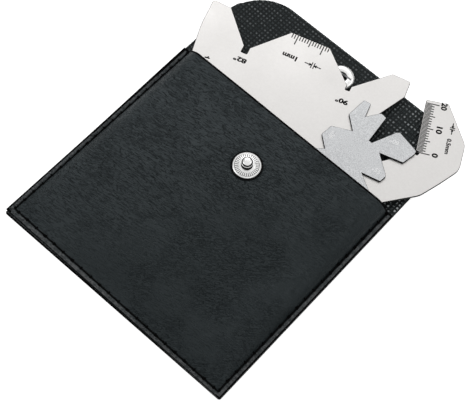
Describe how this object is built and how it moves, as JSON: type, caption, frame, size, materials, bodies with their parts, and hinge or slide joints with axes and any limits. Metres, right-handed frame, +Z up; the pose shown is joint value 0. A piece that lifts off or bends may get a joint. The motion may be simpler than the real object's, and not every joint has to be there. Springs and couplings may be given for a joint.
{
  "type": "drill point gauge",
  "caption": "Drill point gauge plate and star gauge plate, half drawn out of an open leather snap pouch.",
  "frame": {"origin": "on the table under the middle of the pouch", "axes": "+X across the pouch, +Y from the pouch bottom towards the flap, +Z up from the table"},
  "size_m": [0.1077, 0.1331, 0.0089],
  "materials": {
    "leather": "grained black leather",
    "lining": "black embossed lining",
    "thread": "black sewing thread",
    "chrome": "bright plated",
    "spring_steel": "drawn wire",
    "bright_steel": "fine satin",
    "grey_steel": "matt grained"
  },
  "bodies": {
    "pouch": {"back_shell": "leather", "back_lining": "lining", "front_shell": "leather", "front_lining": "lining", "needle_thread": "thread", "bobbin_thread": "thread", "snap_stud": "chrome", "stud_rivet": "chrome"},
    "flap": {"flap_shell": "leather", "flap_lining": "lining", "snap_socket": "chrome", "socket_springs": "spring_steel", "snap_cap": "chrome"},
    "drill_gauge": {"drill_gauge_plate": "bright_steel"},
    "star_gauge": {"star_gauge_plate": "grey_steel"}
  },
  "joints": [
    {"name": "flap_fold", "type": "hinge", "parent": "pouch", "child": "flap", "pos_m": [0, 0.0474, 0], "axis": [1, 0, 0], "range_deg": [-165, 0]},
    {"name": "drill_gauge_slide", "type": "slide", "parent": "pouch", "child": "drill_gauge", "axis": [0, 0.9998, 0.0209], "range_m": [0, 0.06]},
    {"name": "star_gauge_slide", "type": "slide", "parent": "pouch", "child": "star_gauge", "axis": [0, 0.9998, 0.0209], "range_m": [-0.018, 0.03]}
  ]
}
